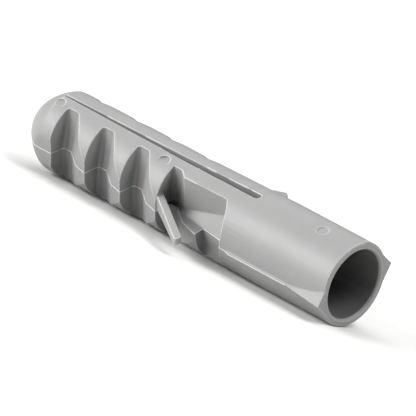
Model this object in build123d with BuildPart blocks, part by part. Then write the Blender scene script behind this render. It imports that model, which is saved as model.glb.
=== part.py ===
# Expansion wall plug, moulded in one piece of grey nylon, for a 20 mm drilled hole.
# The plug lies along X with its mouth at X = 0 and its nose towards -X.
# It is modelled with the slit at the top and bottom (Z) and the teeth on the two flanks (Y),
# and last of all rolled over to the side on which it comes to rest.
# The plug is the same after half a turn about X: both halves of its mould are alike,
# so the upper half is modelled, and the lower half is the upper one turned over.

import math
import os
from build123d import *

os.makedirs("parts", exist_ok=True)

# Overall
length = 90.0             # mouth face to nose tip
nose_length = 11.0        # nose tip to the first tooth
tooth_pitch = 10.2        # from one tooth to the next
tooth_count = 4           # teeth before the pocket of the locking tongue
pocket_length = 18.8      # last tooth to the neck

# Outer radii
neck_radius = 9.4         # plain round neck
shank_radius = 9.0        # over the teeth
neck_straight = 21.6      # length of the neck before it narrows towards the shank
mouth_chamfer = 0.3       # bevel of the outer edge at the mouth
nose_tip_flat = 0.3       # half width of the small flat on the tip
nose_tip_radius = 4.85    # round tip of the nose
nose_tip_turn = 26.0      # how far the tip curves round before the nose's sides start
nose_side_share = 1.5     # radius of the nose's sides, seen in profile, in shank radii

# Screw hole
bore_radius = 7.75
bore_chamfer = 0.4
cone_length = 7.0         # from the neck's bore down to the screw channel
cone_gap = 1.2            # neck wall left between the cone and the pocket
channel_radius = 3.2      # screw channel past the cone
channel_end_gap = 9.0     # solid nose past the channel

# Slit through both halves
slit_nose_gap = 7.4       # solid nose past the slit
slit_overrun = 2.9        # how far the slit runs on into the neck
slit_nose_width = 0.4
slit_neck_width = 1.7

# Teeth, measured from the axis at the parting plane and at the height named section_height
crest_radius = 8.75       # tooth edge
floor_radius = 4.85       # valley floor at the parting plane
floor_radius_top = 2.4    # valley floor at section_height, on the pocket's side
floor_radius_far = 4.6    # the same on the other side
wall_lean = 0.35          # how far a tooth's wall leans out at its foot
wall_draft = 0.55         # how far the wall moves back at section_height
floor_run = 2.6           # length of the valley floor
ramp_run = 6.8            # wall to the end of the ramp
ramp_radius = 7.85        # end of the ramp at the parting plane
ramp_radius_top = 6.5     # end of the ramp at section_height, on the pocket's side
ramp_radius_far = 7.2     # the same on the other side
foot_bevel = 0.45         # bevel at the foot of a wall
ramp_round = 2.5          # rounding where the ramp turns into the crest
nose_flat = 8.3           # flat beside the nose, from the axis

# Fifth ridge and valley, across from the pocket
ridge_width = 11.8        # last tooth's wall to the ridge's own wall
ridge_radius = 9.3
last_floor_start = 6.6    # last valley's floor beside the ridge
last_floor_end = 7.35     # last valley's floor beside the neck

# Pocket beside the locking tongue
pocket_floor = 4.15       # flat of the pocket from the axis
pocket_pit = 3.6          # deepest stretch next to the tooth, at the parting plane
pocket_pit_top = 2.9      # the same at section_height
pit_run = 2.2             # length of that stretch
pit_ramp = 1.8            # length of the rise to the flat
flat_low = 0.1            # height of the flat's lower edge beside the tooth
flat_high = 5.3           # and beside the neck
shelf_near = 5.5          # inner edge of the shelf beside the tooth, from the axis
shelf_far = 7.5           # and beside the neck
step_slant = 2.6          # the neck's end wall slants by this much in plan
step_bulge = 0.45         # and bulges by this much halfway
pocket_overlap = 1.0      # the pocket is lofted past the step, then trimmed to it

# Locking tongue
tongue_length = 13.95     # along X
tongue_reach = 17.4       # tip's outer corner from the axis
tongue_root = 8.15        # outer edge at the tooth's wall, from the axis
tongue_width = 2.0        # measured along Y
tongue_height = 3.4       # top at the root
tip_low = 1.8             # underside at the tip
tip_high = 3.6            # top at the tip
tongue_bury = 2.0         # length inside the tooth
tip_round = 0.6

# Fins on the neck, which keep the plug from turning in its hole
fin_rise = 3.0            # length over which a fin rises from the neck's end
fin_reach = 9.95          # edge of the slim fin from the axis
fin_base = 0.6            # half height of the slim fin's foot
ear_length = 10.4
ear_reach = 11.15         # ear's edge at the mouth
ear_base = 4.1            # half height of the ear's foot
ear_inside = 8.0          # the ears reach this far into the neck's wall, from the axis

# Ejector pin marks
mark_radius = 1.3
mark_depth = 0.3
neck_mark = 9.0           # from the mouth
tooth_mark_back = 3.0     # from the last tooth
tooth_mark_side = 2.9     # from the slit
nose_mark_gap = 8.0       # from the nose tip
nose_mark_side = 2.45

# Nib left where the mould was fed, on the mouth's edge
nib_angle = 63.0          # from +Y towards +Z
nib_width = 1.4
nib_length = 0.7
nib_height = 0.25

# How far the plug is rolled about its axis as it lies at rest, between the two rolls
# at which the tip of a locking tongue meets the floor, towards the near tongue
rest_roll = 30.0

# Places along X that follow from the sizes above
nose_tip = -length
first_wall = nose_tip + nose_length
last_wall = first_wall + (tooth_count - 1) * tooth_pitch
step_x = last_wall + pocket_length
neck_length = -step_x
section_height = 8.5
outside = 2 * neck_radius


def valley_section(wall_x, height, floor, ramp, draft, ridge_x, ridge, side):
    """Plan outline of one valley, at a height above the parting plane."""
    foot_x = wall_x - draft
    ramp_end = (wall_x + ramp_run, side * ramp)
    points = [
        (foot_x, side * outside),
        (foot_x, side * crest_radius),
        (foot_x + wall_lean, side * (floor + foot_bevel)),
        (foot_x + wall_lean + foot_bevel, side * floor),
        (wall_x + floor_run, side * floor),
        ramp_end,
        (ridge_x, side * ridge),
        (ridge_x, side * outside),
    ]
    with BuildSketch(Plane.XY.offset(height)) as section:
        with BuildLine():
            Polyline(*points, close=True)
        make_face()
        fillet(section.vertices().sort_by_distance((*ramp_end, height))[0], radius=ramp_round)
    return section.sketch


def valley_pair(wall_x, ridge_x, ridge, side):
    """A valley's outline at the parting plane and near the top of the plug."""
    floor_top = floor_radius_top if side < 0 else floor_radius_far
    ramp_top = ramp_radius_top if side < 0 else ramp_radius_far
    low = valley_section(wall_x, 0, floor_radius, ramp_radius, 0, ridge_x, ridge, side)
    high = valley_section(wall_x, section_height, floor_top, ramp_top, wall_draft, ridge_x, ridge, side)
    return [low, high]


def plan(points, height=0.0):
    """Closed outline seen from above."""
    with BuildSketch(Plane.XY.offset(height)) as outline:
        with BuildLine():
            Polyline(*points, close=True)
        make_face()
    return outline.sketch


def cross(x, points):
    """Closed outline across the plug, with points given as (Y, Z)."""
    with BuildSketch(Plane.YZ.offset(x)) as outline:
        with BuildLine():
            Polyline(*points, close=True)
        make_face()
    return outline.sketch


# Pocket of the locking tongue: a flat wall, a sloping lower part and a shelf at the parting plane
flat_start = last_wall + pit_run + pit_ramp
with BuildPart() as pocket:
    loft(
        sections=[
            cross(
                flat_start,
                [
                    (-pocket_floor, outside),
                    (-pocket_floor, flat_low),
                    (-shelf_near, 0),
                    (-outside, 0),
                    (-outside, outside),
                ],
            ),
            cross(
                step_x + pocket_overlap,
                [
                    (-pocket_floor, outside),
                    (-pocket_floor, flat_high),
                    (-shelf_far, 0),
                    (-outside, 0),
                    (-outside, outside),
                ],
            ),
        ],
        ruled=True,
    )
    step_inner = (step_x - step_slant, -pocket_floor)
    step_outer = (step_x, -neck_radius)
    step_middle = (step_x - step_slant / 2 + step_bulge, -(pocket_floor + neck_radius) / 2)
    with BuildSketch(Plane.XY) as pocket_plan:
        with BuildLine():
            Polyline(step_inner, (step_inner[0], 0), (flat_start, 0), (flat_start, -outside))
            Polyline((flat_start, -outside), (step_x, -outside), step_outer)
            ThreePointArc(step_outer, step_middle, step_inner)
        make_face()
    extrude(amount=outside, mode=Mode.INTERSECT)

# Locking tongue, springing from the last tooth and rising towards its tip
tongue_slope = (tongue_reach - tongue_root) / tongue_length
buried_reach = tongue_root - tongue_bury * tongue_slope
with BuildPart() as tongue:
    bars = []
    for x, reach, low, high in (
        (last_wall - tongue_bury, buried_reach, 0, tongue_height),
        (last_wall, tongue_root, 0, tongue_height),
        (last_wall + tongue_length, tongue_reach, tip_low, tip_high),
    ):
        inner = reach - tongue_width
        bars.append(cross(x, [(-reach, low), (-reach, high), (-inner, high), (-inner, low)]))
    loft(sections=bars, ruled=True)
    tip_face = tongue.faces().sort_by(Axis.X)[-1]
    fillet(tip_face.edges().filter_by(Axis.Z), radius=tip_round)

# The sides of the nose curve on until they reach the shank's radius
nose_side_radius = nose_side_share * shank_radius
tip_sine = math.sin(math.radians(nose_tip_turn))
side_rise = shank_radius - nose_tip_flat - nose_tip_radius * tip_sine
side_end_sine = tip_sine + side_rise / nose_side_radius
side_end_turn = math.degrees(math.asin(side_end_sine))

# Upper half of the plug
with BuildPart() as half:
    with BuildSketch(Plane.XY) as profile:
        with BuildLine():
            tip = JernArc((nose_tip, nose_tip_flat), (0, 1), nose_tip_radius, -nose_tip_turn)
            side_arc = JernArc(tip @ 1, tip % 1, nose_side_radius, nose_tip_turn - side_end_turn)
            Polyline(
                side_arc @ 1,
                (last_wall, shank_radius),
                (-neck_straight, neck_radius),
                (-mouth_chamfer, neck_radius),
                (0, neck_radius - mouth_chamfer),
                (0, 0),
                (nose_tip, 0),
                (nose_tip, nose_tip_flat),
            )
        make_face()
    revolve(axis=Axis.X, revolution_arc=180)

    # Fins and ears on both sides of the neck
    for side in (-1, 1):
        fin_sections = []
        for x, foot, reach in (
            (step_x, fin_base, neck_radius - fin_base),
            (step_x + fin_rise, fin_base, fin_reach),
            (-ear_length, fin_base, fin_reach),
        ):
            fin_sections.append(
                cross(x, [(0, 0), (side * reach, 0), (side * (neck_radius - fin_base), foot), (0, foot)])
            )
        loft(sections=fin_sections, ruled=True)
        ear_sections = []
        for x, reach, base in ((-ear_length, fin_reach, fin_base), (0, ear_reach, ear_base)):
            ear_sections.append(cross(x, [(side * ear_inside, 0), (side * reach, 0), (side * ear_inside, base)]))
        loft(sections=ear_sections, ruled=True)

    # Valleys between the teeth, the last one on the far side running up to the fifth ridge
    for side in (-1, 1):
        for number in range(tooth_count - 1):
            wall_x = first_wall + number * tooth_pitch
            loft(
                sections=valley_pair(wall_x, wall_x + tooth_pitch, crest_radius, side),
                ruled=True,
                mode=Mode.SUBTRACT,
            )
        extrude(
            plan(
                [
                    (nose_tip, side * nose_flat),
                    (nose_tip, side * outside),
                    (first_wall, side * outside),
                    (first_wall, side * nose_flat),
                ]
            ),
            amount=outside,
            mode=Mode.SUBTRACT,
        )
    ridge_x = last_wall + ridge_width
    loft(sections=valley_pair(last_wall, ridge_x, ridge_radius, 1), ruled=True, mode=Mode.SUBTRACT)

    # Last valley on the far side
    floor_draft = floor_radius - floor_radius_far
    last_valley = []
    for height, draft in ((0, 0), (section_height, floor_draft)):
        last_valley.append(
            plan(
                [
                    (ridge_x, outside),
                    (ridge_x, last_floor_start - draft),
                    (step_x - step_slant / 2, last_floor_end - draft),
                    (step_x, neck_radius),
                    (step_x, outside),
                ],
                height,
            )
        )
    loft(sections=last_valley, ruled=True, mode=Mode.SUBTRACT)

    # Pocket and its deep stretch behind the last tooth on the near side
    add(pocket.part, mode=Mode.SUBTRACT)
    pit = []
    for height, pit_depth in ((0, pocket_pit), (section_height, pocket_pit_top)):
        pit.append(
            plan(
                [
                    (last_wall, -outside),
                    (last_wall, -pit_depth),
                    (last_wall + pit_run, -pit_depth),
                    (flat_start, -pocket_floor),
                    (flat_start, -outside),
                ],
                height,
            )
        )
    loft(sections=pit, ruled=True, mode=Mode.SUBTRACT)
    add(tongue.part)

    # Flat-bottomed marks of the ejector pins
    for x, y, radius in (
        (-neck_mark, 0, neck_radius),
        (last_wall - tooth_mark_back, -tooth_mark_side, shank_radius),
        (nose_tip + nose_mark_gap, -nose_mark_side, shank_radius),
    ):
        mark_floor = (radius**2 - y**2) ** 0.5 - mark_depth
        with BuildSketch(Plane.XY.offset(mark_floor)) as mark:
            with Locations((x, y)):
                Circle(mark_radius)
        extrude(amount=outside, mode=Mode.SUBTRACT)

# Whole plug
bore_end = neck_length - cone_gap - cone_length
with BuildPart() as plug:
    add(half.part)
    add(half.part, rotation=(180, 0, 0))

    # Screw hole: round bore in the neck, cone and slim channel
    with BuildSketch(Plane.XY) as hole:
        with BuildLine():
            Polyline(
                (0, 0),
                (0, bore_radius + bore_chamfer),
                (-bore_chamfer, bore_radius),
                (-bore_end, bore_radius),
                (-bore_end - cone_length, channel_radius),
                (nose_tip + channel_end_gap, channel_radius),
                (nose_tip + channel_end_gap, 0),
                close=True,
            )
        make_face()
    revolve(axis=Axis.X, mode=Mode.SUBTRACT)

    # Slit from the nose into the end of the neck, wider towards the neck
    slit_start = nose_tip + slit_nose_gap
    slit_end = step_x + slit_overrun
    with BuildSketch(Plane.XY) as slit:
        with BuildLine():
            Polyline(
                (slit_start, slit_nose_width / 2),
                (slit_end - slit_neck_width / 2, slit_neck_width / 2),
            )
            ThreePointArc(
                (slit_end - slit_neck_width / 2, slit_neck_width / 2),
                (slit_end, 0),
                (slit_end - slit_neck_width / 2, -slit_neck_width / 2),
            )
            Polyline(
                (slit_end - slit_neck_width / 2, -slit_neck_width / 2),
                (slit_start, -slit_nose_width / 2),
            )
            ThreePointArc(
                (slit_start, -slit_nose_width / 2),
                (slit_start - slit_nose_width / 2, 0),
                (slit_start, slit_nose_width / 2),
            )
        make_face()
    extrude(amount=outside, both=True, mode=Mode.SUBTRACT)

    # Nib on the mouth's edge
    nib_y = neck_radius * math.cos(math.radians(nib_angle))
    nib_z = neck_radius * math.sin(math.radians(nib_angle))
    with BuildSketch(Plane.YZ) as nib:
        with Locations((nib_y, nib_z)):
            Rectangle(2 * nib_height, nib_width, rotation=nib_angle)
    extrude(amount=-nib_length)

# As it lies
with BuildPart() as wall_plug:
    add(plug.part, rotation=(rest_roll, 0, 0))

wall_plug.part.label = "wall_plug"
export_step(wall_plug.part, "parts/wall_plug.step")
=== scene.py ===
"""Looks of a grey nylon wall plug, as moulded, lying on a pale studio floor.

The plug is one moulding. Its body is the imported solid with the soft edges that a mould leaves,
and along its flanks runs the thin flash where the two halves of the mould met.
"""

import math

import bmesh
import bpy
import numpy as np
from mathutils import Matrix, Vector


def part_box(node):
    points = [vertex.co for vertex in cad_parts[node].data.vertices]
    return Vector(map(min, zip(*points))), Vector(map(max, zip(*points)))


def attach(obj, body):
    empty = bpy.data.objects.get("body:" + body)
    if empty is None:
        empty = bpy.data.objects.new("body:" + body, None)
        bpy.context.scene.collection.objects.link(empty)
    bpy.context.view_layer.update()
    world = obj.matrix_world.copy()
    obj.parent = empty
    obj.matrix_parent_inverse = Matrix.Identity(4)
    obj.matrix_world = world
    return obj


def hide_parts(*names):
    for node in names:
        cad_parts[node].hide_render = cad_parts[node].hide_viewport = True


bl_info = {
    "name": "Wall plug",
    "version": (1, 0, 0),
    "blender": (4, 5, 0),
    "location": "3D View > Sidebar > Wall plug",
    "description": "Finishes a moulded nylon wall plug and sets up its studio",
    "category": "Object",
}

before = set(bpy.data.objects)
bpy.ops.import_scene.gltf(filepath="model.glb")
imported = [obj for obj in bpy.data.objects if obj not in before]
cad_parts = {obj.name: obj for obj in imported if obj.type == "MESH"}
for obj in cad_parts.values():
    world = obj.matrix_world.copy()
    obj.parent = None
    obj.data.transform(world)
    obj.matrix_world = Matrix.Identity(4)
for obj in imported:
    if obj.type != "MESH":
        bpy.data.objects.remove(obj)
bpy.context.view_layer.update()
SOLID_LOW, SOLID_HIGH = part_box("wall_plug")
MM = 0.001

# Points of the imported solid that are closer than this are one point
WELD = 0.001 * MM

# Fewer triangles than this mean that the solid wasn't closed
LEAST_TRIANGLES = 1000

# Names of the two values that are noted at each point of the body; the material paints a highlight from
# the first and shade from the second
EDGE = "edge"
SHELTER = "shelter"

# Sockets of a colour mix: its two colours and its result
FIRST, SECOND, MIXED = 6, 7, 2

# Range that takes in most of a noise pattern
NOISE_LOW, NOISE_HIGH = 0.3, 0.7

# Side of the picture in pixels, the camera's sensor in millimetres, and how far it sees in metres
PICTURE_SIDE = 416
SENSOR_WIDTH = 36.0
SIGHT = 50.0

# Each lamp's name, azimuth, elevation, breadth and power, as add_lamp takes them
LAMPS = (
    ("key_lamp", -38, 13, 0.75, 19.8),
    ("back_lamp", 180, 70, 1.82, 18.2),
    ("mouth_lamp", 90, 60, 0.41, 3.7),
    ("nose_lamp", -90, 30, 0.41, 2.1),
    ("front_lamp", 100, 8, 0.41, 1.6),
)


def linear(colour):
    """Linear red, green and blue of an sRGB hex colour."""
    channels = [int(colour[at : at + 2], 16) / 255 for at in (1, 3, 5)]
    return [c / 12.92 if c <= 0.04045 else ((c + 0.055) / 1.055) ** 2.4 for c in channels]


class MouldingSizes(bpy.types.PropertyGroup):
    """Sizes that the mould gives the plug, and how finely its surface is drawn."""

    grid: bpy.props.FloatProperty(
        name="Grid",
        description="Spacing of the surface's points before flat places are thinned out",
        default=0.15 * MM,
        min=0.05 * MM,
        unit="LENGTH",
    )
    edge_passes: bpy.props.IntProperty(
        name="Edge softening",
        description="Passes that round the edges; eight give about 0.3 mm",
        default=8,
        min=0,
    )
    nose_passes: bpy.props.IntProperty(
        name="Nose softening",
        description="Passes that blend the flats beside the nose into its dome",
        default=240,
        min=0,
    )
    nose_length: bpy.props.FloatProperty(
        name="Nose",
        description="Length of the nose, up to the first tooth",
        default=11 * MM,
        unit="LENGTH",
    )
    nose_stop: bpy.props.FloatProperty(
        name="Nose stop",
        description="How far short of the first tooth the nose's softening ends",
        default=0.4 * MM,
        unit="LENGTH",
    )
    nose_middle: bpy.props.FloatProperty(
        name="Nose middle",
        description="Distance from the slit's middle within which the nose isn't softened",
        default=4.5 * MM,
        unit="LENGTH",
    )
    nose_fade: bpy.props.FloatProperty(
        name="Nose fade",
        description="Length over which the nose's softening grows to its full strength",
        default=2 * MM,
        unit="LENGTH",
    )
    shelter_reach: bpy.props.FloatProperty(
        name="Shelter reach",
        description="How far from a place a wall still shelters it from the light",
        default=30 * MM,
        unit="LENGTH",
    )
    shelter_ways: bpy.props.IntProperty(
        name="Shelter ways",
        description="How many directions walls are looked for in",
        default=40,
        min=4,
    )
    shelter_lift: bpy.props.FloatProperty(
        name="Shelter lift",
        description="Height above the surface from which walls are looked for",
        default=0.05 * MM,
        unit="LENGTH",
    )
    shelter_passes: bpy.props.IntProperty(
        name="Shelter softening",
        description="Passes that even out the shelter from point to point",
        default=40,
        min=0,
    )
    edge_depth: bpy.props.FloatProperty(
        name="Edge depth",
        description="How much the softening takes off an edge where its paler tone is strongest",
        default=0.05 * MM,
        unit="LENGTH",
    )
    most_triangles: bpy.props.IntProperty(
        name="Most triangles",
        description="The body is thinned out to this many triangles",
        default=190000,
    )
    flash_radius: bpy.props.FloatProperty(
        name="Flash",
        description="Half the thickness of the flash at the parting line",
        default=0.08 * MM,
        unit="LENGTH",
    )
    flash_sides: bpy.props.IntProperty(
        name="Flash sides",
        description="Sides of the flash's round section",
        default=6,
        min=3,
    )
    parting_offset: bpy.props.FloatProperty(
        name="Parting offset",
        description="How far from the parting plane the body is cut to find the flash's path",
        default=0.02 * MM,
        unit="LENGTH",
    )
    lie_roll: bpy.props.FloatProperty(
        name="Roll",
        description="How far the plug is rolled about its axis as it lies",
        default=math.radians(30),
        subtype="ANGLE",
    )
    nose_end: bpy.props.FloatProperty(
        name="Solid nose",
        description="Length of the nose that the slit and the screw channel leave solid",
        default=6 * MM,
        unit="LENGTH",
    )
    neck_length: bpy.props.FloatProperty(
        name="Neck",
        description="Length of the plug's neck, from the mouth",
        default=29.6 * MM,
        unit="LENGTH",
    )
    ear_length: bpy.props.FloatProperty(
        name="Ears",
        description="Length of the ears at the mouth; the flash ends where they start",
        default=10.4 * MM,
        unit="LENGTH",
    )
    slit_end: bpy.props.FloatProperty(
        name="Slit end",
        description="Distance from the mouth at which the slit ends",
        default=26.7 * MM,
        unit="LENGTH",
    )
    slit_wall: bpy.props.FloatProperty(
        name="Slit wall",
        description="Distance from the slit's middle that takes in both its walls",
        default=1.0 * MM,
        unit="LENGTH",
    )
    slit_light: bpy.props.FloatProperty(
        name="Slit light",
        description="Share of the slit's shelter that the light through it takes away",
        default=0.85,
        min=0,
        max=1,
        subtype="FACTOR",
    )
    channel_wall: bpy.props.FloatProperty(
        name="Channel wall",
        description="Distance from the axis that clears the slit and the screw channel",
        default=4.0 * MM,
        unit="LENGTH",
    )
    bore_wall: bpy.props.FloatProperty(
        name="Bore wall",
        description="Distance from the axis that clears the screw bore in the neck",
        default=8.3 * MM,
        unit="LENGTH",
    )


class NylonFinish(bpy.types.PropertyGroup):
    """Colours and surface of the moulded nylon, with its painted highlights and painted shade."""

    shade_light: bpy.props.FloatVectorProperty(
        name="Light grey",
        description="Lighter tone of the nylon",
        default=linear("#868686"),
        subtype="COLOR",
        min=0,
        max=1,
    )
    shade_dark: bpy.props.FloatVectorProperty(
        name="Dark grey",
        description="Darker tone of the nylon, where the melt flowed together",
        default=linear("#7F7F7E"),
        subtype="COLOR",
        min=0,
        max=1,
    )
    # Painted highlight: rounded edges get a paler tone that stands in for the light they catch
    painted_edge_highlight: bpy.props.FloatVectorProperty(
        name="Edges",
        description="Tone of the edges, paler because light comes through the thin nylon there",
        default=linear("#C0C0BF"),
        subtype="COLOR",
        min=0,
        max=1,
    )
    edge_start: bpy.props.FloatProperty(
        name="Edge start",
        description="How strong an edge has to be before it is paler",
        default=0.1,
        min=0,
        max=1,
        subtype="FACTOR",
    )
    # Painted shade: sheltered places get a darker tone that stands in for the shade that falls there;
    # this and the next three settings set it
    painted_recess_shade: bpy.props.FloatVectorProperty(
        name="Recesses",
        description="Tone of the deepest places, where the nylon gets no light from inside",
        default=linear("#242424"),
        subtype="COLOR",
        min=0,
        max=1,
    )
    recess_depth: bpy.props.FloatProperty(
        name="Recess strength",
        description="How far the deepest places go to that tone",
        default=0.84,
        min=0,
        max=1,
        subtype="FACTOR",
    )
    recess_start: bpy.props.FloatProperty(
        name="Recess start",
        description="Share of the ways out of a place that meet a wall where it starts to darken",
        default=0.3,
        min=0,
        max=1,
        subtype="FACTOR",
    )
    recess_full: bpy.props.FloatProperty(
        name="Recess full",
        description="Share of the ways out of a place that meet a wall where it is darkest",
        default=0.84,
        min=0,
        max=1,
        subtype="FACTOR",
    )
    # The flash is real; its paler tone is a painted highlight along the parting line
    painted_flash_highlight: bpy.props.FloatVectorProperty(
        name="Flash",
        description="Tone of the thin flash, paler because light comes through it",
        default=linear("#C2C2C0"),
        subtype="COLOR",
        min=0,
        max=1,
    )
    grain: bpy.props.FloatProperty(
        name="Grain",
        description="Spacing of the fine texture that the spark-cut mould leaves",
        default=0.35 * MM,
        unit="LENGTH",
    )
    grain_depth: bpy.props.FloatProperty(
        name="Grain depth",
        description="Height of that texture",
        default=0.006 * MM,
        unit="LENGTH",
    )
    sheen_spacing: bpy.props.FloatProperty(
        name="Sheen spots",
        description="Spacing of the faint changes of sheen",
        default=1.4 * MM,
        unit="LENGTH",
    )
    roughness_low: bpy.props.FloatProperty(
        name="Least roughness",
        description="Roughness where the sheen is strongest",
        default=0.47,
        min=0,
        max=1,
        subtype="FACTOR",
    )
    roughness_high: bpy.props.FloatProperty(
        name="Most roughness",
        description="Roughness where the sheen is weakest",
        default=0.52,
        min=0,
        max=1,
        subtype="FACTOR",
    )
    ior: bpy.props.FloatProperty(
        name="Refractive index",
        description="Refractive index of polyamide",
        default=1.53,
        min=1,
    )
    glow: bpy.props.FloatProperty(
        name="Glow",
        description="Share of the light that goes into the nylon and comes out beside that place",
        default=0.08,
        min=0,
        max=1,
        subtype="FACTOR",
    )
    glow_depth: bpy.props.FloatProperty(
        name="Glow depth",
        description="How far that light goes in the nylon",
        default=0.6 * MM,
        unit="LENGTH",
    )
    flow: bpy.props.FloatProperty(
        name="Flow marks",
        description="Spacing of the faint changes of tone left by the melt's flow",
        default=9 * MM,
        unit="LENGTH",
    )


class StudioSetting(bpy.types.PropertyGroup):
    """Camera, floor and lights."""

    azimuth: bpy.props.FloatProperty(
        name="Azimuth",
        description="Camera's angle round the plug with its slit upright, from the side to the mouth",
        default=math.radians(43.93),
        subtype="ANGLE",
    )
    elevation: bpy.props.FloatProperty(
        name="Elevation",
        description="Camera's height above the plug with its slit upright",
        default=math.radians(34.21),
        subtype="ANGLE",
    )
    turn: bpy.props.FloatProperty(
        name="Turn",
        description="Camera's turn about its own line of sight",
        default=math.radians(-0.31),
        subtype="ANGLE",
    )
    distance: bpy.props.FloatProperty(
        name="Distance",
        description="From the camera to the mouth's centre",
        default=2.28,
        unit="LENGTH",
    )
    pixels_per_metre: bpy.props.FloatProperty(
        name="Scale",
        description="Pixels of the picture for a metre at the mouth",
        default=4888.0,
    )
    mouth_at: bpy.props.FloatVectorProperty(
        name="Mouth",
        description="Where the mouth's centre is in the picture, in pixels from its top left",
        default=(354.8, 285.1),
        size=2,
    )
    floor_colour: bpy.props.FloatVectorProperty(
        name="Floor",
        description="Colour of the studio's floor",
        default=linear("#E0E0DF"),
        subtype="COLOR",
        min=0,
        max=1,
    )
    lamp_distance: bpy.props.FloatProperty(
        name="Lamp distance",
        description="From each lamp to the plug",
        default=4.0,
        unit="LENGTH",
    )
    air_light: bpy.props.FloatProperty(
        name="Air light",
        description="Light that comes from all round, beside the lamps",
        default=0.02,
        min=0,
    )
    floor_side: bpy.props.FloatProperty(
        name="Floor side",
        description="Length of the floor's sides",
        default=16.0,
        unit="LENGTH",
    )
    fibre_spacing: bpy.props.FloatProperty(
        name="Paper fibres",
        description="Spacing of the floor's mottle, drawn coarser than real fibres so that it shows",
        default=2.5 * MM,
        unit="LENGTH",
    )
    fibre_tone: bpy.props.FloatProperty(
        name="Fibre tone",
        description="Darkest tone of that mottle, as a share of the floor's colour",
        default=0.985,
        min=0,
        max=1,
        subtype="FACTOR",
    )


def add_node(tree, kind, settings, inputs):
    """Adds a node with its settings, and fills its inputs with values or links."""
    node = tree.nodes.new(kind)
    for name, value in settings.items():
        setattr(node, name, value)
    for name, value in inputs.items():
        if isinstance(value, bpy.types.NodeSocket):
            tree.links.new(value, node.inputs[name])
        else:
            node.inputs[name].default_value = value
    return node


def new_material(name):
    """An empty material and its node tree."""
    material = bpy.data.materials.new(name)
    material.use_nodes = True
    material.node_tree.nodes.clear()
    return material, material.node_tree


def moulded_nylon(name, light, dark, finish):
    """Injection-moulded polyamide 6, through-coloured grey.

    A spark-cut mould gives it a fine even grain and a satin sheen, so highlights are broad and
    soft. Its tone drifts slightly where the melt flowed. Edges that the softening rounded get a
    painted highlight, a paler tone, and sheltered places get painted shade, a darker tone. The real
    grain is about 0.05 mm; it is drawn coarser, or it wouldn't show.
    """
    material, tree = new_material(name)
    place = add_node(tree, "ShaderNodeTexCoord", {}, {}).outputs["Object"]
    flow = add_node(
        tree,
        "ShaderNodeTexNoise",
        {},
        {
            "Vector": place,
            "Scale": 1 / finish.flow,
            "Detail": 2.0,
            "Roughness": 0.45,
            "Distortion": 0.6,
        },
    )
    tone = add_node(
        tree,
        "ShaderNodeMix",
        {"data_type": "RGBA"},
        {"Factor": flow.outputs["Fac"], FIRST: (*dark, 1.0), SECOND: (*light, 1.0)},
    )
    # Painted highlight: edges that the softening rounded get a paler tone
    edge = add_node(tree, "ShaderNodeAttribute", {"attribute_name": EDGE}, {}).outputs["Fac"]
    convex = add_node(
        tree,
        "ShaderNodeMapRange",
        {},
        {"Value": edge, "From Min": finish.edge_start, "From Max": 1.0},
    )
    paler = add_node(
        tree,
        "ShaderNodeMix",
        {"data_type": "RGBA"},
        {
            "Factor": convex.outputs["Result"],
            FIRST: tone.outputs[MIXED],
            SECOND: (*finish.painted_edge_highlight, 1.0),
        },
    )
    # Painted shade: places that walls shelter from the light get a darker tone
    shelter = add_node(tree, "ShaderNodeAttribute", {"attribute_name": SHELTER}, {}).outputs["Fac"]
    deep = add_node(
        tree,
        "ShaderNodeMapRange",
        {},
        {
            "Value": shelter,
            "From Min": finish.recess_start,
            "From Max": finish.recess_full,
            "To Max": finish.recess_depth,
        },
    )
    darker = add_node(
        tree,
        "ShaderNodeMix",
        {"data_type": "RGBA"},
        {
            "Factor": deep.outputs["Result"],
            FIRST: paler.outputs[MIXED],
            SECOND: (*finish.painted_recess_shade, 1.0),
        },
    )
    grain = add_node(
        tree,
        "ShaderNodeTexNoise",
        {},
        {"Vector": place, "Scale": 1 / finish.grain, "Detail": 3.0, "Roughness": 0.6},
    )
    relief = add_node(
        tree,
        "ShaderNodeBump",
        {},
        {"Height": grain.outputs["Fac"], "Strength": 1.0, "Distance": finish.grain_depth},
    )
    sheen = add_node(
        tree,
        "ShaderNodeTexNoise",
        {},
        {"Vector": place, "Scale": 1 / finish.sheen_spacing, "Detail": 2.0, "Roughness": 0.5},
    )
    roughness = add_node(
        tree,
        "ShaderNodeMapRange",
        {},
        {
            "Value": sheen.outputs["Fac"],
            "From Min": NOISE_LOW,
            "From Max": NOISE_HIGH,
            "To Min": finish.roughness_low,
            "To Max": finish.roughness_high,
        },
    )
    shader = add_node(
        tree,
        "ShaderNodeBsdfPrincipled",
        {},
        {
            "Base Color": darker.outputs[MIXED],
            "Roughness": roughness.outputs["Result"],
            "Normal": relief.outputs["Normal"],
            "IOR": finish.ior,
            "Subsurface Weight": finish.glow,
            "Subsurface Scale": finish.glow_depth,
        },
    )
    add_node(tree, "ShaderNodeOutputMaterial", {}, {"Surface": shader.outputs["BSDF"]})
    return material


def studio_paper(setting):
    """Matt seamless paper: even, without sheen, and with the faint mottle of its fibres."""
    material, tree = new_material("seamless_paper_matt")
    place = add_node(tree, "ShaderNodeTexCoord", {}, {}).outputs["Object"]
    fibres = add_node(
        tree,
        "ShaderNodeTexNoise",
        {},
        {"Vector": place, "Scale": 1 / setting.fibre_spacing, "Detail": 2.0},
    )
    pale = setting.floor_colour
    dark = [setting.fibre_tone * c for c in pale]
    tone = add_node(
        tree,
        "ShaderNodeMix",
        {"data_type": "RGBA"},
        {"Factor": fibres.outputs["Fac"], FIRST: (*dark, 1.0), SECOND: (*pale, 1.0)},
    )
    shader = add_node(
        tree,
        "ShaderNodeBsdfPrincipled",
        {},
        {"Base Color": tone.outputs[MIXED], "Roughness": 0.9},
    )
    add_node(tree, "ShaderNodeOutputMaterial", {}, {"Surface": shader.outputs["BSDF"]})
    return material


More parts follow.
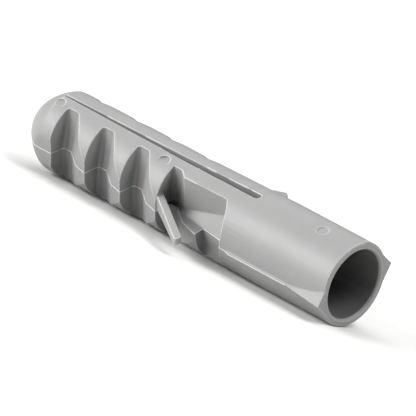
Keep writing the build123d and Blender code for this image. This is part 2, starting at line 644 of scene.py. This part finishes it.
def add_object(name, mesh):
    """A new object in the scene."""
    thing = bpy.data.objects.new(name, mesh)
    bpy.context.scene.collection.objects.link(thing)
    return thing


def settle_modifiers(thing):
    """Turns the result of an object's modifiers into its own plain mesh."""
    bpy.context.view_layer.update()
    graph = bpy.context.evaluated_depsgraph_get()
    mesh = bpy.data.meshes.new_from_object(thing.evaluated_get(graph))
    thing.modifiers.clear()
    thing.data = mesh


def triangle_count(mesh):
    """How many triangles a mesh has."""
    mesh.calc_loop_triangles()
    return len(mesh.loop_triangles)


def vertex_places(mesh):
    """The places of a mesh's points, as rows of an array."""
    places = np.empty(len(mesh.vertices) * 3, dtype=np.float32)
    mesh.vertices.foreach_get("co", places)
    return places.reshape(-1, 3)


def noted_values(mesh, name):
    """The values that are noted under a name at a mesh's points."""
    values = np.empty(len(mesh.vertices), dtype=np.float32)
    mesh.attributes[name].data.foreach_get("value", values)
    return values


def plug_axes(sizes):
    """Directions across the plug and up from its parting plane, as it lies rolled."""
    roll = Matrix.Rotation(sizes.lie_roll, 3, "X")
    return roll @ Vector((0, 1, 0)), roll @ Vector((0, 0, 1))


def slit_distances(places, sizes):
    """How far each place is from the middle of the slit, to either side."""
    across = plug_axes(sizes)[0]
    return np.abs(places @ np.array(across))


def merged_solid():
    """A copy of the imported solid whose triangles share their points."""
    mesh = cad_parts["wall_plug"].data.copy()
    solid = bmesh.new()
    solid.from_mesh(mesh)
    bmesh.ops.remove_doubles(solid, verts=solid.verts, dist=WELD)
    solid.to_mesh(mesh)
    solid.free()
    return mesh


def soften(body, name, passes, group=""):
    """Evens out a body's surface, all of it or only one group of its points."""
    smooth = body.modifiers.new(name, "SMOOTH")
    smooth.factor = 0.5
    smooth.iterations = passes
    smooth.vertex_group = group
    settle_modifiers(body)


def note_edges(mesh, sharp_places, depth):
    """Notes at each point how much its edge was softened: 1 on an edge, -1 in a corner, 0 on a flat."""
    normals = np.empty(len(mesh.vertices) * 3, dtype=np.float32)
    mesh.vertices.foreach_get("normal", normals)
    taken_off = ((sharp_places - vertex_places(mesh)) * normals.reshape(-1, 3)).sum(axis=1)
    edge = mesh.attributes.new(EDGE, "FLOAT", "POINT")
    edge.data.foreach_set("value", np.clip(taken_off / depth, -1.0, 1.0).astype(np.float32))


def round_edges(body, sizes):
    """Draws a body anew on an even grid and rounds its edges, which it notes."""
    remesh = body.modifiers.new("Even grid", "REMESH")
    remesh.mode = "VOXEL"
    remesh.voxel_size = sizes.grid
    settle_modifiers(body)
    sharp_places = vertex_places(body.data)
    soften(body, "Soft edges", sizes.edge_passes)
    note_edges(body.data, sharp_places, sizes.edge_depth)


def nose_weights(places, sizes):
    """How much each place takes part in the softening of the nose's flanks, from 0 to 1."""
    from_tooth = SOLID_LOW.x + sizes.nose_length - sizes.nose_stop - places[:, 0]
    from_middle = slit_distances(places, sizes) - sizes.nose_middle
    return np.clip(np.minimum(from_tooth, from_middle) / sizes.nose_fade, 0.0, 1.0)


def blend_nose(body, sizes):
    """Softens the flanks of the nose, away from its tip, its slit and the first tooth."""
    weights = nose_weights(vertex_places(body.data), sizes)
    # The painted edge highlight fades out where the nose is softened
    edge = noted_values(body.data, EDGE) * (1 - weights)
    body.data.attributes[EDGE].data.foreach_set("value", edge.astype(np.float32))
    nose = body.vertex_groups.new(name="nose")
    for index in np.flatnonzero(weights):
        nose.add([int(index)], float(weights[index]), "REPLACE")
    soften(body, "Blended nose", sizes.nose_passes, nose.name)


def thin_out(body, most_triangles):
    """Thins a body out if it has more than so many triangles."""
    count = triangle_count(body.data)
    if count < LEAST_TRIANGLES:
        raise RuntimeError("the packed solid gave no closed surface to finish")
    if count > most_triangles:
        thin = body.modifiers.new("Thin out", "DECIMATE")
        thin.ratio = most_triangles / count
        settle_modifiers(body)


def open_ways(count):
    """Directions over the half ball above a flat place, denser where it takes in more light."""
    golden_turn = math.pi * (3 - math.sqrt(5))
    ways = []
    for number in range(count):
        height = math.sqrt(1 - (number + 0.5) / count)
        out = math.sqrt(1 - height * height)
        turn = number * golden_turn
        ways.append((out * math.cos(turn), out * math.sin(turn), height))
    return ways


def shelter_tree(ways, material):
    """Node tree that notes at each point the share of the ways out of it that meet a wall."""
    tree = bpy.data.node_groups.new("Shelter from light", "GeometryNodeTree")
    tree.interface.new_socket("Body", in_out="INPUT", socket_type="NodeSocketGeometry")
    reach = tree.interface.new_socket("Reach", in_out="INPUT", socket_type="NodeSocketFloat")
    lift = tree.interface.new_socket("Lift", in_out="INPUT", socket_type="NodeSocketFloat")
    passes = tree.interface.new_socket("Passes", in_out="INPUT", socket_type="NodeSocketInt")
    tree.interface.new_socket("Body", in_out="OUTPUT", socket_type="NodeSocketGeometry")
    given = add_node(tree, "NodeGroupInput", {}, {}).outputs
    place = add_node(tree, "GeometryNodeInputPosition", {}, {}).outputs["Position"]
    normal = add_node(tree, "GeometryNodeInputNormal", {}, {}).outputs["Normal"]
    facing = add_node(tree, "FunctionNodeAlignRotationToVector", {"axis": "Z"}, {"Vector": normal})
    start = add_node(
        tree,
        "ShaderNodeVectorMath",
        {"operation": "MULTIPLY_ADD"},
        {0: normal, 1: given["Lift"], 2: place},
    )
    share = 0.0
    for way in ways:
        ray = add_node(
            tree,
            "FunctionNodeRotateVector",
            {},
            {"Vector": way, "Rotation": facing.outputs["Rotation"]},
        )
        wall = add_node(
            tree,
            "GeometryNodeRaycast",
            {},
            {
                "Target Geometry": given["Body"],
                "Source Position": start.outputs["Vector"],
                "Ray Direction": ray.outputs["Vector"],
                "Ray Length": given["Reach"],
            },
        )
        share = add_node(
            tree,
            "ShaderNodeMath",
            {"operation": "MULTIPLY_ADD"},
            {0: wall.outputs["Is Hit"], 1: 1 / len(ways), 2: share},
        ).outputs["Value"]
    even = add_node(
        tree,
        "GeometryNodeBlurAttribute",
        {},
        {"Iterations": given["Passes"], "Weight": 1.0, "Value": share},
    )
    noted = add_node(
        tree,
        "GeometryNodeStoreNamedAttribute",
        {"data_type": "FLOAT", "domain": "POINT"},
        {"Geometry": given["Body"], "Name": SHELTER, "Value": even.outputs["Value"]},
    )
    real = add_node(tree, "GeometryNodeRealizeInstances", {}, {"Geometry": noted.outputs["Geometry"]})
    dressed = add_node(
        tree,
        "GeometryNodeSetMaterial",
        {},
        {"Geometry": real.outputs["Geometry"], "Material": material},
    )
    add_node(tree, "NodeGroupOutput", {}, {"Body": dressed.outputs["Geometry"]})
    return tree, reach.identifier, lift.identifier, passes.identifier


def note_shelter(body, sizes, material):
    """Puts a body's material on and notes how sheltered its points are from the light."""
    tree, reach, lift, passes = shelter_tree(open_ways(sizes.shelter_ways), material)
    shelter = body.modifiers.new("Shelter from light", "NODES")
    shelter.node_group = tree
    shelter[reach] = sizes.shelter_reach
    shelter[lift] = sizes.shelter_lift
    shelter[passes] = sizes.shelter_passes
    settle_modifiers(body)


def open_slit(mesh, sizes):
    """Lowers the shelter noted in the slit, which runs right through and takes in light below too."""
    places = vertex_places(mesh)
    in_slit = (slit_distances(places, sizes) < sizes.slit_wall) & (places[:, 0] < -sizes.slit_end)
    shelter = noted_values(mesh, SHELTER)
    # Less painted shade in the slit
    shelter[in_slit] *= 1 - sizes.slit_light
    mesh.attributes[SHELTER].data.foreach_set("value", shelter)


class WALLPLUG_OT_moulding(bpy.types.Operator):
    """Make the moulded body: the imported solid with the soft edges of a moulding"""

    bl_idname = "wallplug.moulding"
    bl_label = "Moulded body"

    def execute(self, context):
        sizes = context.scene.wall_plug_sizes
        finish = context.scene.wall_plug_nylon
        body = add_object("moulded_body", merged_solid())
        round_edges(body, sizes)
        blend_nose(body, sizes)
        thin_out(body, sizes.most_triangles)
        material = moulded_nylon("nylon_moulded_satin", finish.shade_light, finish.shade_dark, finish)
        # The shelter noted here sets the material's painted shade
        note_shelter(body, sizes, material)
        open_slit(body.data, sizes)
        body.data.shade_smooth()
        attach(body, "root")
        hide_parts("wall_plug")
        return {"FINISHED"}


def opening_reach(along, sizes):
    """Distance from the axis that clears what opens up inside the plug at a place along it."""
    if along < SOLID_LOW.x + sizes.nose_end:
        return 0.0
    if along < -sizes.neck_length:
        return sizes.channel_wall
    return sizes.bore_wall


def parting_edges(mesh, sizes, side):
    """Points and edges where one flank of the plug meets the parting plane.

    On each flank it is taken a hair to the side of the plane on which that flank stands proud,
    because the other half of the mould cuts its pocket there.
    """
    across, up = plug_axes(sizes)
    cut = bmesh.new()
    cut.from_mesh(mesh)
    result = bmesh.ops.bisect_plane(
        cut,
        geom=cut.verts[:] + cut.edges[:] + cut.faces[:],
        dist=0.0,
        plane_co=up * (side * sizes.parting_offset),
        plane_no=up,
    )
    points, index, edges = [], {}, []
    for edge in result["geom_cut"]:
        if not isinstance(edge, bmesh.types.BMEdge):
            continue
        middle = (edge.verts[0].co + edge.verts[1].co) / 2
        if middle.x > -sizes.ear_length:
            continue
        if side * middle.dot(across) < opening_reach(middle.x, sizes):
            continue
        for vertex in edge.verts:
            if vertex.index not in index:
                index[vertex.index] = len(points)
                points.append(vertex.co.copy())
        edges.append([index[vertex.index] for vertex in edge.verts])
    cut.free()
    return points, edges


def flash_tree(material):
    """Node tree that sweeps a thin round ridge along the edges that it is given."""
    tree = bpy.data.node_groups.new("Parting flash", "GeometryNodeTree")
    tree.interface.new_socket("Path", in_out="INPUT", socket_type="NodeSocketGeometry")
    radius = tree.interface.new_socket("Radius", in_out="INPUT", socket_type="NodeSocketFloat")
    sides = tree.interface.new_socket("Sides", in_out="INPUT", socket_type="NodeSocketInt")
    tree.interface.new_socket("Flash", in_out="OUTPUT", socket_type="NodeSocketGeometry")
    given = add_node(tree, "NodeGroupInput", {}, {}).outputs
    line = add_node(tree, "GeometryNodeMeshToCurve", {}, {"Mesh": given["Path"]})
    section = add_node(
        tree,
        "GeometryNodeCurvePrimitiveCircle",
        {},
        {"Resolution": given["Sides"], "Radius": given["Radius"]},
    )
    ridge = add_node(
        tree,
        "GeometryNodeCurveToMesh",
        {},
        {"Curve": line.outputs["Curve"], "Profile Curve": section.outputs["Curve"], "Fill Caps": True},
    )
    real = add_node(tree, "GeometryNodeRealizeInstances", {}, {"Geometry": ridge.outputs["Mesh"]})
    dressed = add_node(
        tree,
        "GeometryNodeSetMaterial",
        {},
        {"Geometry": real.outputs["Geometry"], "Material": material},
    )
    add_node(tree, "NodeGroupOutput", {}, {"Flash": dressed.outputs["Geometry"]})
    return tree, radius.identifier, sides.identifier


class WALLPLUG_OT_flash(bpy.types.Operator):
    """Draw the flash along the parting line of both flanks"""

    bl_idname = "wallplug.flash"
    bl_label = "Parting flash"

    def execute(self, context):
        sizes = context.scene.wall_plug_sizes
        finish = context.scene.wall_plug_nylon
        body = bpy.data.objects["moulded_body"]
        points, edges = [], []
        for side in (-1, 1):
            more_points, more_edges = parting_edges(body.data, sizes, side)
            edges += [[a + len(points), b + len(points)] for a, b in more_edges]
            points += more_points
        if not edges:
            raise RuntimeError("the body doesn't meet its parting plane")
        path = bpy.data.meshes.new("parting_flash")
        path.from_pydata(points, edges, [])
        flash = add_object("parting_flash", path)
        # The flash's pale tone is a painted highlight
        material = moulded_nylon("nylon_flash_thin", finish.painted_flash_highlight, finish.painted_flash_highlight, finish)
        tree, radius, sides = flash_tree(material)
        sweep = flash.modifiers.new("Parting flash", "NODES")
        sweep.node_group = tree
        sweep[radius] = sizes.flash_radius
        sweep[sides] = sizes.flash_sides
        settle_modifiers(flash)
        shell = bmesh.new()
        shell.from_mesh(flash.data)
        bmesh.ops.recalc_face_normals(shell, faces=shell.faces)
        shell.to_mesh(flash.data)
        shell.free()
        flash.data.shade_smooth()
        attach(flash, "root")
        return {"FINISHED"}


def add_lamp(name, target, azimuth, elevation, distance, breadth, power):
    """A square soft lamp that faces a point, seen from it at angles in degrees from -Y and the floor.

    Its breadth is the ratio of its side to its distance, and its power is what it would need at 1 m.
    """
    light = bpy.data.lights.new(name, "AREA")
    light.shape = "SQUARE"
    light.size = breadth * distance
    light.energy = power * distance**2
    lamp = add_object(name, light)
    round_turn, rise = math.radians(azimuth), math.radians(elevation)
    way = Vector(
        (math.sin(round_turn) * math.cos(rise), -math.cos(round_turn) * math.cos(rise), math.sin(rise))
    )
    lamp.location = target + distance * way
    lamp.rotation_euler = way.to_track_quat("Z", "Y").to_euler()


def studio_air(setting):
    """Pale air round the studio, which adds only a little light of its own."""
    world = bpy.data.worlds.new("studio_air")
    world.use_nodes = True
    tree = world.node_tree
    tree.nodes.clear()
    seen = add_node(tree, "ShaderNodeLightPath", {}, {}).outputs["Is Camera Ray"]
    strength = add_node(
        tree, "ShaderNodeMapRange", {}, {"Value": seen, "To Min": setting.air_light, "To Max": 1.0}
    )
    air = add_node(
        tree,
        "ShaderNodeBackground",
        {},
        {"Color": (1.0, 1.0, 1.0, 1.0), "Strength": strength.outputs["Result"]},
    )
    add_node(tree, "ShaderNodeOutputWorld", {}, {"Surface": air.outputs["Background"]})
    return world


def add_camera(setting, lie_roll):
    """Camera at the photograph's angle, turned with the plug as it lies."""
    azimuth, elevation = setting.azimuth, setting.elevation
    back = Vector(
        (
            math.sin(azimuth) * math.cos(elevation),
            -math.cos(azimuth) * math.cos(elevation),
            math.sin(elevation),
        )
    )
    right = Vector((math.cos(azimuth), math.sin(azimuth), 0))
    axes = Matrix((right, back.cross(right), back)).transposed()
    turned = Matrix.Rotation(lie_roll, 3, "X") @ Matrix.Rotation(setting.turn, 3, back) @ axes
    middle = PICTURE_SIDE / 2
    across = (setting.mouth_at[0] - middle) / setting.pixels_per_metre
    down = (setting.mouth_at[1] - middle) / setting.pixels_per_metre
    data = bpy.data.cameras.new("camera")
    data.sensor_width = SENSOR_WIDTH
    data.lens = setting.pixels_per_metre * setting.distance * data.sensor_width / PICTURE_SIDE
    data.clip_end = SIGHT
    camera = add_object("camera", data)
    place = turned @ Vector((-across, down, setting.distance))
    camera.matrix_world = Matrix.Translation(place) @ turned.to_4x4()
    return camera


class WALLPLUG_OT_studio(bpy.types.Operator):
    """Lay out the floor, the lights and the camera"""

    bl_idname = "wallplug.studio"
    bl_label = "Studio"

    def execute(self, context):
        setting = context.scene.wall_plug_studio
        sizes = context.scene.wall_plug_sizes
        half = setting.floor_side / 2
        middle = (SOLID_LOW + SOLID_HIGH) / 2
        corners = [
            (middle.x + a * half, middle.y + b * half, SOLID_LOW.z)
            for a, b in ((-1, -1), (1, -1), (1, 1), (-1, 1))
        ]
        sheet = bpy.data.meshes.new("floor")
        sheet.from_pydata(corners, [], [(0, 1, 2, 3)])
        sheet.materials.append(studio_paper(setting))
        add_object("floor", sheet)
        for name, azimuth, elevation, breadth, power in LAMPS:
            add_lamp(name, middle, azimuth, elevation, setting.lamp_distance, breadth, power)
        context.scene.world = studio_air(setting)
        context.scene.view_settings.view_transform = "Standard"
        context.scene.camera = add_camera(setting, sizes.lie_roll)
        return {"FINISHED"}


class WALLPLUG_PT_panel(bpy.types.Panel):
    """Steps and sizes of the wall plug's looks"""

    bl_idname = "WALLPLUG_PT_panel"
    bl_label = "Wall plug"
    bl_space_type = "VIEW_3D"
    bl_region_type = "UI"
    bl_category = "Wall plug"

    def draw(self, context):
        scene = context.scene
        steps = (
            ("wallplug.moulding", scene.wall_plug_sizes),
            ("wallplug.flash", scene.wall_plug_nylon),
            ("wallplug.studio", scene.wall_plug_studio),
        )
        for operator, group in steps:
            box = self.layout.box()
            box.operator(operator)
            for name in group.bl_rna.properties.keys():
                if name not in ("rna_type", "name"):
                    box.prop(group, name)


CLASSES = (
    MouldingSizes,
    NylonFinish,
    StudioSetting,
    WALLPLUG_OT_moulding,
    WALLPLUG_OT_flash,
    WALLPLUG_OT_studio,
    WALLPLUG_PT_panel,
)


def register():
    """Registers the classes and hangs the settings on the scene."""
    for cls in CLASSES:
        bpy.utils.register_class(cls)
    bpy.types.Scene.wall_plug_sizes = bpy.props.PointerProperty(type=MouldingSizes)
    bpy.types.Scene.wall_plug_nylon = bpy.props.PointerProperty(type=NylonFinish)
    bpy.types.Scene.wall_plug_studio = bpy.props.PointerProperty(type=StudioSetting)


def unregister():
    """Takes the settings and the classes away again."""
    del bpy.types.Scene.wall_plug_studio
    del bpy.types.Scene.wall_plug_nylon
    del bpy.types.Scene.wall_plug_sizes
    for cls in reversed(CLASSES):
        bpy.utils.unregister_class(cls)


def main():
    """Makes every piece and the studio."""
    register()
    bpy.ops.wallplug.moulding()
    bpy.ops.wallplug.flash()
    bpy.ops.wallplug.studio()


if __name__ == "__main__":
    main()
